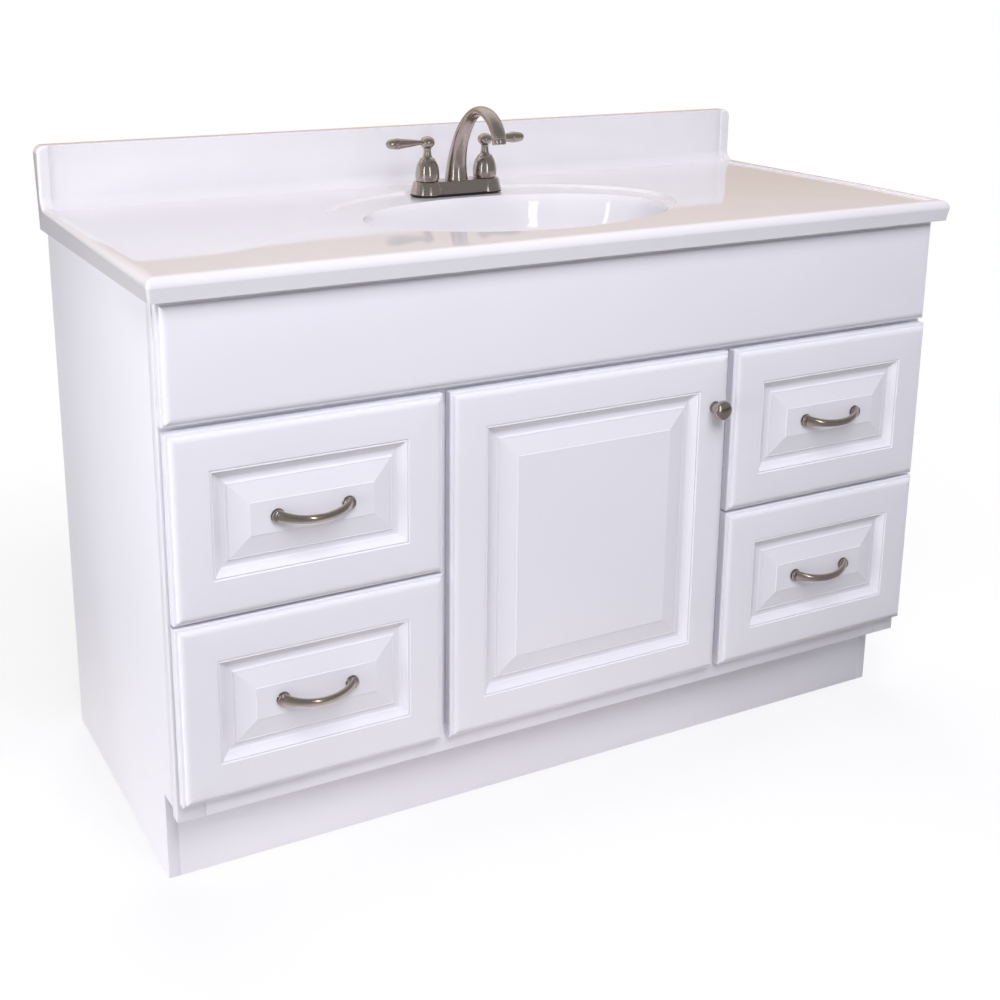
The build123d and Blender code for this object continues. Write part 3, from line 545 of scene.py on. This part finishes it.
# cast top: the CAD form with a fuller round along its front and ends, a face that leans in to its foot,
# a slight fall to the front edge and a deeper dish round the bowl; a drop counts down from the rim, in mm
topForm = {"deckTop": 834.1, "round": 12.5, "corner": 5.0, "cuts": (8.0, 11.0), "noseDrop": 9.0,
           "undercut": 3.4, "endUndercut": 2.6, "fadeFrom": 70.0, "fadeTo": 22.0, "splashThick": 24.0,
           "fall": 3.5, "fallDepth": 190.0, "fallTo": 20.0, "dishSink": 2.0, "dishRim": 60.0,
           "dishFrom": 3.2, "dishTo": 5.5, "sinkEnd": 17.0, "levelSlack": 0.01, "cutSlack": 0.0001,
           "crease": 28, "flatWeight": 90}
low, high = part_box("vanity_top")
bm = copyOfNode("vanity_top")
cutPlanes = [((0, low.y + topForm["fallDepth"] * mm, 0), (0, 1, 0))]
for cut in topForm["cuts"]:
    cutPlanes.append(((0, low.y + cut * mm, 0), (0, 1, 0)))
    cutPlanes.append(((high.x - cut * mm, 0, 0), (1, 0, 0)))
    cutPlanes.append(((low.x + cut * mm, 0, 0), (1, 0, 0)))
for point, way in cutPlanes:
    bmesh.ops.bisect_plane(bm, geom=bm.verts[:] + bm.edges[:] + bm.faces[:], dist=topForm["cutSlack"] * mm,
                           plane_co=point, plane_no=way)
corner = topForm["corner"]
for v in bm.verts:
    fromFront = (v.co.y - low.y) / mm
    fromEnd = (high.x - abs(v.co.x)) / mm
    drop = topForm["deckTop"] - v.co.z / mm
    inset = min(fromFront, fromEnd)
    if fromFront < corner and fromEnd < corner:
        inset = corner - ((corner - fromFront) ** 2 + (corner - fromEnd) ** 2) ** 0.5
    if drop > topForm["noseDrop"] and fromFront < corner:
        v.co.y += topForm["undercut"] * mm
    if drop > topForm["noseDrop"] and fromEnd < corner:
        v.co.x *= 1 - topForm["endUndercut"] * mm / high.x
    if drop < topForm["fallTo"] and fromFront < topForm["fallDepth"]:
        v.co.z -= topForm["fall"] * (1 - fromFront / topForm["fallDepth"]) * mm
    if inset > topForm["dishRim"] and topForm["dishFrom"] < drop < topForm["sinkEnd"]:
        sink = (topForm["sinkEnd"] - max(drop, topForm["dishTo"])) / (topForm["sinkEnd"] - topForm["dishTo"])
        v.co.z -= topForm["dishSink"] * sink * mm
    if inset > topForm["round"] or drop < -topForm["levelSlack"] or drop > topForm["noseDrop"]:
        continue
    fromSplash = (high.y - v.co.y) / mm - topForm["splashThick"]
    share = min(max((fromSplash - topForm["fadeTo"]) / (topForm["fadeFrom"] - topForm["fadeTo"]), 0), 1)
    inset = max(inset, 0)
    rounded = topForm["round"] - (topForm["round"] ** 2 - (topForm["round"] - inset) ** 2) ** 0.5
    v.co.z -= (rounded - drop) * share * mm
bmesh.ops.recalc_face_normals(bm, faces=bm.faces)
shadeForm(bm, topForm["crease"])
cast = finishPiece("vanity_top_cast", bm, "vanity_top")
level = cast.modifiers.new("level", "WEIGHTED_NORMAL")  # large flat faces reflect as flat
level.keep_sharp = True
level.weight = topForm["flatWeight"]
print("cast top made")

# boards and plates with their long edges eased; each list stands under its ease in mm
easedBoards = {0.3: ["side_panel_left", "side_panel_right", "toe_kick"],
               0.8: ["stile_left", "stile_right", "top_rail", "mid_rail", "bottom_rail", "mullions",
                     "drawer_rails", "partition_left", "partition_right", "floor_panel", "back_rail_upper",
                     "back_rail_lower", "corner_braces", "slide_spacers"]
                    + ["drawer_box_" + d for d in drawers],
               0.4: ["drawer_bottom_" + d for d in drawers],
               0.25: ["slide_channels", "hinge_arms"] + ["slide_runners_" + d for d in drawers]}
easeForm = {"flatWithin": 1, "sharpFrom": 40, "shortest": 4, "segments": 2, "crease": 32}


def boardCopy(node, easeMm):  # edges shorter than a few eases are left as they are
    bm = copyOfNode(node)
    bmesh.ops.dissolve_limit(bm, angle_limit=radians(easeForm["flatWithin"]), verts=bm.verts, edges=bm.edges)
    sharp = radians(easeForm["sharpFrom"])
    shortest = easeForm["shortest"] * easeMm * mm
    edges = [e for e in bm.edges if len(e.link_faces) == 2 and e.calc_face_angle(0) > sharp
             and e.calc_length() > shortest]
    bmesh.ops.bevel(bm, geom=edges, offset=easeMm * mm, segments=easeForm["segments"], profile=0.5,
                    affect="EDGES", material=-1, clamp_overlap=True)
    shadeForm(bm, easeForm["crease"])
    finishPiece(node + "_eased", bm, node)


for ease, nodes in easedBoards.items():
    for node in nodes:
        boardCopy(node, ease)
print("boards eased")

# floor: pale near the object and fading to white to the eye; away from the object it throws back less light
floorForm = {"half": 14.0, "paint": "#F4F4F6", "fadeStart": 0.9, "fadeEnd": 2.4, "nearShare": 0.62,
             "bounceNear": "#EAE4E0", "bounceFar": "#8C8A8A", "bounceCentre": (-0.16, 0.0, 0.0),
             "bounceFrom": 0.42, "bounceTo": 0.86}
bm = bmesh.new()
bmesh.ops.create_grid(bm, x_segments=1, y_segments=1, size=floorForm["half"])
mesh = bpy.data.meshes.new("floor")
bm.to_mesh(mesh)
bm.free()
floor = bpy.data.objects.new("floor", mesh)
bpy.context.scene.collection.objects.link(floor)


def seenRays(owner, *others):  # 1 for rays from the camera and for the other kinds named
    rays = addNode(owner, "ShaderNodeLightPath")
    seen = rays.outputs["Is Camera Ray"]
    for kind in others:
        either = addNode(owner, "ShaderNodeMath", {0: seen, 1: rays.outputs[kind]}, operation="MAXIMUM")
        seen = either.outputs[0]
    return seen


floorPaint, shader, where = newFinish("floor paint", {"Roughness": 0.8})
seen = seenRays(floorPaint, "Is Transmission Ray")
distance = addNode(floorPaint, "ShaderNodeVectorMath", {0: where}, operation="LENGTH")
fromBounce = addNode(floorPaint, "ShaderNodeVectorMath", {0: where, 1: floorForm["bounceCentre"]},
                     operation="DISTANCE")
away = addNode(floorPaint, "ShaderNodeMapRange", {"Value": fromBounce.outputs["Value"],
                                                  "From Min": floorForm["bounceFrom"],
                                                  "From Max": floorForm["bounceTo"]})
bounce = addNode(floorPaint, "ShaderNodeMix", {0: away.outputs["Result"], 6: linear(floorForm["bounceNear"]),
                                               7: linear(floorForm["bounceFar"])}, data_type="RGBA")
tone = addNode(floorPaint, "ShaderNodeMix", {0: seen, 6: bounce.outputs[2], 7: linear(floorForm["paint"])},
               data_type="RGBA")
feed(floorPaint, shader, Base_Color=tone.outputs[2])
fade = addNode(floorPaint, "ShaderNodeMapRange", {"Value": distance.outputs["Value"],
                                                  "From Min": floorForm["fadeStart"],
                                                  "From Max": floorForm["fadeEnd"],
                                                  "To Min": floorForm["nearShare"]},
               interpolation_type="SMOOTHSTEP")
share = addNode(floorPaint, "ShaderNodeMath", {0: seen, 1: fade.outputs["Result"]}, operation="MULTIPLY")
white = addNode(floorPaint, "ShaderNodeEmission", {"Color": (1, 1, 1, 1), "Strength": 1.0})
both = addNode(floorPaint, "ShaderNodeMixShader", {0: share.outputs[0], 1: shader.outputs[0],
                                                   2: white.outputs[0]})
surface = floorPaint.node_tree.nodes["Material Output"].inputs["Surface"]
floorPaint.node_tree.links.new(both.outputs[0], surface)
mesh.materials.append(floorPaint)

# surround: soft even light on the object and plain white to the eye; gloss sees a room that is white behind
# and dim in front, with a warm wall low down behind
roomForm = {"colour": "#F1F3FB", "light": 0.17, "darkest": 0.3, "darkFrom": -0.3, "darkTo": 0.7,
            "lift": 0.1, "warmWall": "#CDBAA9", "warmNone": 0.75, "warmFull": 0.3, "warmBehind": 0.4}
world = bpy.data.worlds.new("surround")
bpy.context.scene.world = world
world.use_nodes = True
soft = addNode(world, "ShaderNodeBackground", {"Color": linear(roomForm["colour"]),
                                               "Strength": roomForm["light"]})
facing = addNode(world, "ShaderNodeTexCoord").outputs["Generated"]
toward = addNode(world, "ShaderNodeSeparateXYZ", {0: facing})
raised = addNode(world, "ShaderNodeMath", {0: toward.outputs["Z"], 1: roomForm["lift"],
                                           2: toward.outputs["Y"]}, operation="MULTIPLY_ADD")
room = addNode(world, "ShaderNodeMapRange", {"Value": raised.outputs[0], "From Min": roomForm["darkFrom"],
                                             "From Max": roomForm["darkTo"], "To Min": roomForm["darkest"]},
               interpolation_type="SMOOTHSTEP")
glossy = addNode(world, "ShaderNodeLightPath").outputs["Is Glossy Ray"]
shown = addNode(world, "ShaderNodeMix", {0: glossy, 2: 1.0, 3: room.outputs["Result"]}, data_type="FLOAT")
lowDown = addNode(world, "ShaderNodeMapRange", {"Value": toward.outputs["Z"],
                                                "From Min": roomForm["warmNone"],
                                                "From Max": roomForm["warmFull"]},
                  interpolation_type="SMOOTHSTEP")
behind = addNode(world, "ShaderNodeMapRange", {"Value": toward.outputs["Y"], "From Min": 0.0,
                                               "From Max": roomForm["warmBehind"]})
warmth = addNode(world, "ShaderNodeMath", {0: lowDown.outputs["Result"], 1: behind.outputs["Result"]},
                 operation="MULTIPLY")
warmth = addNode(world, "ShaderNodeMath", {0: warmth.outputs[0], 1: glossy}, operation="MULTIPLY")
wall = addNode(world, "ShaderNodeMix", {0: warmth.outputs[0], 6: (1, 1, 1, 1),
                                        7: linear(roomForm["warmWall"])}, data_type="RGBA")
plain = addNode(world, "ShaderNodeBackground", {"Color": wall.outputs[2], "Strength": shown.outputs[0]})
seen = seenRays(world, "Is Transmission Ray", "Is Glossy Ray")
both = addNode(world, "ShaderNodeMixShader", {0: seen, 1: soft.outputs[0], 2: plain.outputs[0]})
world.node_tree.links.new(both.outputs[0], world.node_tree.nodes["World Output"].inputs["Surface"])

# lamps: a high key in front, a warm ceiling, soft boxes for the sides and the back, and two tall strips
# that draw upright highlights on the metal
plainLamp = {"size": (2.0, 2.0), "tint": "#FFFFFF", "shows": False}
lamps = {"key": {"at": (-0.5, -2.1, 2.75), "size": (1.8, 1.8), "watts": 78, "tint": "#FAFAFF"},
         "ceiling": {"at": (0.2, 0.2, 3.0), "size": (2.0, 1.6), "watts": 16, "tint": "#FFE8D6"},
         "left": {"at": (-3.4, -0.3, 0.38), "watts": 98},
         "right": {"at": (3.4, -0.1, 0.7), "watts": 70},
         "rear": {"at": (0.5, 3.4, 0.9), "size": (2.2, 2.2), "watts": 104},
         "frontStrip": {"at": (-0.12, -3.3, 1.05), "size": (0.26, 2.1), "watts": 8.5, "shows": True},
         "leftStrip": {"at": (-3.0, -1.6, 1.05), "size": (0.26, 2.1), "watts": 8.5, "shows": True}}
aim = Vector((0, 0, 0.5))
for name, ownForm in lamps.items():
    lamp = {**plainLamp, **ownForm}
    light = bpy.data.lights.new(name, "AREA")
    light.energy = lamp["watts"]
    light.color = linear(lamp["tint"])[:3]
    light.shape = "RECTANGLE"
    light.size, light.size_y = lamp["size"]
    holder = bpy.data.objects.new(name, light)
    holder.visible_glossy = lamp["shows"]
    holder.location = lamp["at"]
    holder.rotation_euler = (aim - holder.location).to_track_quat("-Z", "Y").to_euler()
    bpy.context.scene.collection.objects.link(holder)

# camera: the photograph's viewpoint, pitched down
cameraForm = {"at": (-1.051, -1.8133, 1.162), "yaw": 27.46, "pitch": 14.8, "lens": 51.26, "sensor": 36,
              "shiftX": 0.06, "shiftY": -0.15}
camera = bpy.data.cameras.new("camera")
camera.lens = cameraForm["lens"]
camera.sensor_width = cameraForm["sensor"]
camera.shift_x = cameraForm["shiftX"]
camera.shift_y = cameraForm["shiftY"]
holder = bpy.data.objects.new("camera", camera)
holder.location = cameraForm["at"]
holder.rotation_euler = (radians(90 - cameraForm["pitch"]), 0, radians(-cameraForm["yaw"]))
bpy.context.scene.collection.objects.link(holder)
bpy.context.scene.camera = holder
bpy.context.scene.view_settings.view_transform = "Standard"
print("stage, lamps and camera set")
